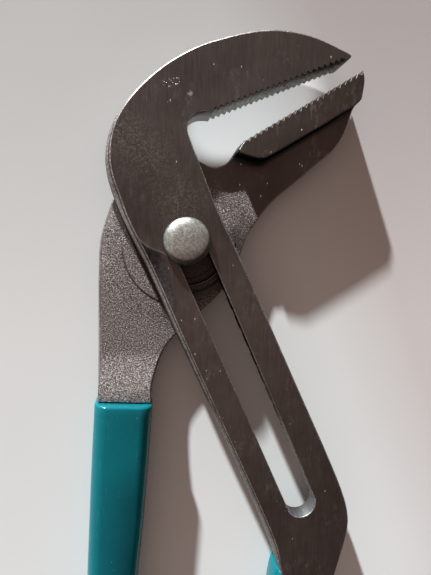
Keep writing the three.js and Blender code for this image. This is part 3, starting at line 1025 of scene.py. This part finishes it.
def pad_rise(side, low):
    """Height near the foot of the pad: level, a small round edge, a wall, then a fillet."""
    if side < -PAD_EDGE:
        return FRONT_FACE
    if side < 0.0:
        return FRONT_FACE - PAD_EDGE_TALL * (1 - math.sqrt(max(0.0, 1 - (side / PAD_EDGE + 1) ** 2)))
    top = FRONT_FACE - PAD_EDGE_TALL
    foot = low + PAD_FILLET
    if side < PAD_WALL:
        return top + (foot - top) * side / PAD_WALL
    out = min(1.0, (side - PAD_WALL) / PAD_FILLET)
    return low + PAD_FILLET * (1 - math.sqrt(max(0.0, 1 - (1 - out) ** 2)))


def tongue_groove(x, y):
    """Machined grooves beside the tongue, within its sector."""
    out = math.hypot(x, y)
    turn = math.degrees(math.atan2(y, x)) + 90 - math.degrees(SLOT_LEAN)
    if not (11.5 < out < 18 and -32 < turn < 66):
        return 0.0
    sector = eased(turn, -31, -27) * (1 - eased(turn, 60, 65))
    wide = eased(out, 12.0, 12.3) * (1 - eased(out, 14.0, 14.25))
    thin = eased(out, 16.45, 16.65) * (1 - eased(out, 16.95, 17.2))
    return sector * (0.9 * wide + 0.5 * thin)


def past_boss(x, y):
    """Distance outside the round lap boss."""
    return math.hypot(x - BOSS_CENTRE[0], y - BOSS_CENTRE[1]) - BOSS_R


def lower_front(x, y):
    out = past_boss(x, y)
    drop = 0.3 * eased(out, -0.05, 0.15) + 0.7 * eased(out, 0, 9)
    jaw = eased(x * 0.55 + y * 0.83, 15.5, 19)
    low = LOWER_LAP - FORGED_DROP * drop * (1 - jaw) - tongue_groove(x, y)
    if y > 20:
        return pad_rise(side_of(PAD_SIDE, x, y), low)
    return low + eased(-y, 36, 52) * (TANG_FRONT - (LOWER_LAP - FORGED_DROP))


def groove_points():
    turns = [math.radians(turn - 90) + SLOT_LEAN for turn in np.arange(-36, 70, 2.2)]
    radii = (11.8, 12.0, 12.15, 12.3, 13.1, 14.0, 14.12, 14.25, 16.3, 16.45, 16.65, 16.8, 16.95, 17.2, 17.5)
    return [polar(radius, turn) for radius in radii for turn in turns]


def lower_region(x, y):
    return ROUGH if side_of(PATCH, x, y) > 0 else FACE


ARM_SIDE = ((-25.4, 22), (-24.4, 19), (-22.4, 13.4), (-19.2, 5), (-12.4, -9.3),
            (-3.4, -30.2))  # where the slotted arm lies at rest


def boss_points():
    return [p for past in (-0.5, -0.12, 0.18, 0.5) for p in circle(BOSS_CENTRE, BOSS_R + past, 130)]


def lower_shade(x, y, z):
    """Painted shade in the foot of the pad and under it, round the tongue, in a line at the boss's step, and
    a painted shadow along the slotted arm's left side.
    """
    if z < LOWER_LAP - FORGED_DROP - GROOVE_DEEP:
        return 0.0
    side = side_of(PAD_SIDE, x, y) if y > 18 else 9.0
    foot = eased(side, -0.1, 0.1) * (1 - eased(side, 0.5, 0.9)) if z < FRONT_FACE - 0.2 else 0.0
    under = 0.9 * eased(side, -0.1, 0.1) * (1 - eased(side, 1.4, 2.6)) * (1 - eased(x, 24, 30))
    lap = 0.75 * (1 - eased(math.hypot(x, y), 17.5, 23)) * eased(-y + 0.6 * x, 2, 8) * eased(x, -9, -4)
    step = 0.8 * (1 - eased(abs(past_boss(x, y)), 0.12, 0.5)) * eased(-x, 4, 8) * eased(-y, 0, 3)
    # painted shadow along the slotted arm's left side
    away = side_of(ARM_SIDE, x, y) if x < -2 else 9.0
    wide = 0.45 + 0.9 * eased(y, -24, 12)
    arm_side_shadow = 0.9 * (away > -3) * (1 - eased(away, wide, wide + 0.45)) * eased(y, -28, -20)
    return max(foot, under, lap, step, arm_side_shadow)


def lower_arm():
    points = boss_points() + groove_points()
    points += rows_beside(PAD_SIDE, 0.7, -0.7, -0.4, -0.2, -0.05, 0.0, 0.14, 0.3, 0.55, 0.9, 1.4, 2.04)
    points += rows_beside(PATCH, 0.5, -0.2, 0.2)
    points += rows_beside(ARM_SIDE, 0.7, -0.5, 0.1, 0.5, 0.9, 1.3, 1.8)
    arm = relief("lower_jaw_arm_steel", [lower_outline()], lower_front, level(REAR_FACE), LOWER_SLOTS,
                 1.8, points, LOWER_TEETH * 6, region=lower_region)
    band = [np.array([x, y, 0.25, 0.1]) for x, y in arc_band(0, TONGUE_R, 1.8, -20, 55)]
    tongue = relief("tongue", [band], level(LOWER_LAP + TONGUE_TALL), level(LOWER_LAP - 1), LOWER_SLOTS, 3.0)
    combine(arm, tongue, "UNION")
    combine(arm, handle_bar("tang", LEFT_HANDLE, LEFT_WIDTHS, TANG_FRONT, LOWER_SLOTS), "UNION")
    bore(arm, BOLT_SHANK_R + FIT, 30, LOWER_SLOTS)
    bore(arm, NUT_POCKET_R, NUT_POCKET_TOP, LOWER_SLOTS)
    painted(arm, "shade", lower_shade)
    return finished(arm, "lower_jaw", "lower_jaw_arm", 20)


# ---- pivot
def turned(name, profile, steps, materials):
    """A closed body of revolution about the pivot axis. The profile starts and ends on the axis."""
    bm = bmesh.new()
    rings = []
    for radius, z in profile:
        if radius < 1e-6:
            rings.append([bm.verts.new((0, 0, z))])
            continue
        rings.append([bm.verts.new((x, y, z)) for x, y in circle((0, 0), radius, steps)])
    for a, b in zip(rings, rings[1:]):
        if len(a) == len(b):
            bridge(bm, a, b)
            continue
        (tip,), ring = sorted((a, b), key=len)
        for i in range(steps):
            bm.faces.new((tip, ring[i], ring[(i + 1) % steps]))
    return closed(name, bm, materials)


def rim_painted_shade(x, y, z):
    """Painted shade: the dark crescent on the lower right of the bolt's head, the side turned from the
    light.
    """
    return 0.85 * eased(math.hypot(x + 0.5, y - 1.3), 6.5, 7.4) * (z > FRONT_FACE + FIT)


def pivot_bolt():
    head = FRONT_FACE + FIT
    top = head + BOLT_HEAD_TALL
    profile = [(0, 0.05), (BOLT_THREAD_R - 0.5, 0.05), (BOLT_THREAD_R - 0.1, 0.45)]
    for i in range(THREAD_TURNS * 2):
        profile.append((BOLT_THREAD_R - (0.0 if i % 2 else 0.3), 0.7 + i * THREAD_STEP))
    profile += [(BOLT_THREAD_R, NUT_POCKET_TOP), (BOLT_SHANK_R - 0.3, NUT_POCKET_TOP),
                (BOLT_SHANK_R, NUT_POCKET_TOP + 0.3), (BOLT_SHANK_R, head), (BOLT_HEAD_R - 0.5, head),
                (BOLT_HEAD_R - 0.1, head + 0.15), (BOLT_HEAD_R, head + 0.5)]
    rim = head + 0.8
    steps, bulge = 26, 2 / DOME_POWER
    for i in range(1, steps):
        across, up = polar(1.0, math.pi / 2 * i / steps)
        profile.append((BOLT_HEAD_R * across**bulge, rim + (top - rim) * up**bulge))
    profile.append((0, top))
    bolt = turned("pivot_bolt_domed", profile, 96, [ZINC])
    painted(bolt, "shade", rim_painted_shade)
    return finished(bolt, "pivot", "pivot_bolt", 35)


def pivot_nut():
    """A thin hexagon nut with turned-off corners."""
    corners = circle((0, 0), NUT_FLATS / math.sqrt(3), 6, math.pi / 6)
    nut = prism("pivot_nut_hexagon", corners, 0, NUT_THICK, [ZINC], 0)
    profile = [(0, -1.0), (5.2, -1.0), (8.3, 0.9), (8.3, 2.5), (5.2, 4.4), (0, 4.4)]
    cone = turned("cone", profile, 64, [ZINC])
    combine(nut, cone, "INTERSECT")
    combine(nut, prism("cut", circle((0, 0), BOLT_THREAD_R + 0.12, 64), -1, 5, [ZINC], 0), "DIFFERENCE")
    return finished(nut, "pivot", "pivot_nut", 25)


def spring_washer():
    low = NUT_THICK + WASHER_GAP
    high = low + WASHER_THICK
    inner, edge = BOLT_THREAD_R + 0.2, 0.1
    profile = ((inner, low), (WASHER_R - edge, low), (WASHER_R, low + edge), (WASHER_R, high - edge),
               (WASHER_R - edge, high), (inner, high))
    bm = bmesh.new()
    rings = [[bm.verts.new((x, y, z)) for x, y in circle((0, 0), radius, 72)] for radius, z in profile]
    for a, b in zip(rings, rings[1:] + rings[:1]):
        bridge(bm, a, b)
    washer = closed("spring_washer_disc", bm, [ZINC])
    return finished(washer, "pivot", "spring_washer", 35)


# ---- stage
SUN_TURN = math.radians(20.5)  # from +Y towards -X
SUN_HIGH = math.radians(13.6)
SUN_SOFT = math.radians(1.8)
SUN_POWER = 10.4
OPENING_AIM = Vector((23.0, 43.6, 0)) * MM
OPENING_LEAN = math.radians(24)
OPENING_WIDE = math.radians(20.4)
OPENING_FLAT = 0.58  # the pool of light is this much shorter than long
OPENING_POWER = 1.3
DAYLIGHT = (0.97, 0.98, 1.0)
CAMERA_PLACE = Vector((-12.65, 0.47, 152.4)) * MM
CAMERA_AIM = Vector((9.02, -14.61, 14.4)) * MM
FLOOR_HALF = 1.6
FLOOR_LEVEL = -0.05 * MM  # just under the tool, so the two don't share a plane


def looking(place, ahead, right):
    """A matrix at the place, looking ahead, with right as its own X axis."""
    turn = Matrix((right, right.cross(ahead), -ahead)).transposed()
    return Matrix.Translation(place) @ turn.to_4x4()


def floor():
    bm = bmesh.new()
    bmesh.ops.create_grid(bm, x_segments=4, y_segments=4, size=FLOOR_HALF)
    floor = make_object("floor", bm, [floor_paint()])
    floor.location = (0, 0, FLOOR_LEVEL)


def camera():
    data = bpy.data.cameras.new("camera")
    data.lens, data.sensor_width = 27.55, 36
    data.clip_start, data.clip_end = 0.005, 10
    ahead = (CAMERA_AIM - CAMERA_PLACE).normalized()
    right = ahead.cross(Vector((0, 1, 0))).normalized()
    seen = placed("camera", data)
    seen.matrix_world = looking(CAMERA_PLACE, ahead, right)
    bpy.context.scene.camera = seen


def sunlight():
    """The low sun behind the head."""
    sun = bpy.data.lights.new("key", "SUN")
    sun.energy, sun.angle, sun.color = SUN_POWER, SUN_SOFT, (0.97, 0.985, 1.0)
    level = math.cos(SUN_HIGH)
    toward = Vector((-math.sin(SUN_TURN) * level, math.cos(SUN_TURN) * level, math.sin(SUN_HIGH)))
    placed("key", sun).rotation_euler = toward.to_track_quat("Z", "Y").to_euler()


def opening_light():
    """A small pool of light on the floor in the throat, from over the tool."""
    lamp = bpy.data.lights.new("opening", "SPOT")
    lamp.spot_size, lamp.spot_blend, lamp.shadow_soft_size = OPENING_WIDE, 0.6, 0.0005
    lamp.energy, lamp.color = OPENING_POWER, DAYLIGHT
    ahead = (OPENING_AIM - CAMERA_PLACE).normalized()
    right = Vector((math.cos(OPENING_LEAN), math.sin(OPENING_LEAN), 0))
    right = (right - ahead * right.dot(ahead)).normalized()
    glow = placed("opening", lamp)
    glow.matrix_world = looking(CAMERA_PLACE, ahead, right) @ Matrix.Diagonal((1.0, OPENING_FLAT, 1.0, 1.0))
    glow.visible_glossy = glow.visible_camera = False


def studio():
    """A room that is pale at the horizon, brown overhead, and dark on the side away from the sun."""
    world = bpy.data.worlds.new("studio")
    n = Tree(world)
    toward = n.add("ShaderNodeTexCoord").outputs["Generated"]
    split = n.add("ShaderNodeSeparateXYZ")
    n.link(toward, split.inputs["Vector"])
    height = n.ramp(split.outputs["Z"], (0.0, (0.85, 0.85, 0.86)), (0.2, (0.6, 0.52, 0.48)),
                    (0.5, (0.42, 0.29, 0.25)))
    side = n.sums("ADD", n.times(n.along(toward, (-0.55, 0.8, 0.0)), 0.5), 0.5)
    side = n.ramp(side, (0.08, 0.08), (0.26, 0.5), (0.5, 0.9), (0.8, 1.0))
    background = n.tree.nodes["Background"]
    n.link(n.mix(1.0, height, side, "MULTIPLY"), background.inputs["Color"])
    background.inputs["Strength"].default_value = 1.0
    bpy.context.scene.world = world
    bpy.context.scene.view_settings.view_transform = "Standard"


floor()
camera()
sunlight()
opening_light()
studio()
slotted_arm()
lower_arm()
pivot_bolt()
pivot_nut()
spring_washer()
grip("upper_arm_grip_vinyl", RIGHT_HANDLE, RIGHT_WIDTHS, RIGHT_TANG_FRONT, "upper_jaw", "upper_arm_grip")
grip("lower_arm_grip_vinyl", LEFT_HANDLE, LEFT_WIDTHS, TANG_FRONT, "lower_jaw", "lower_arm_grip")
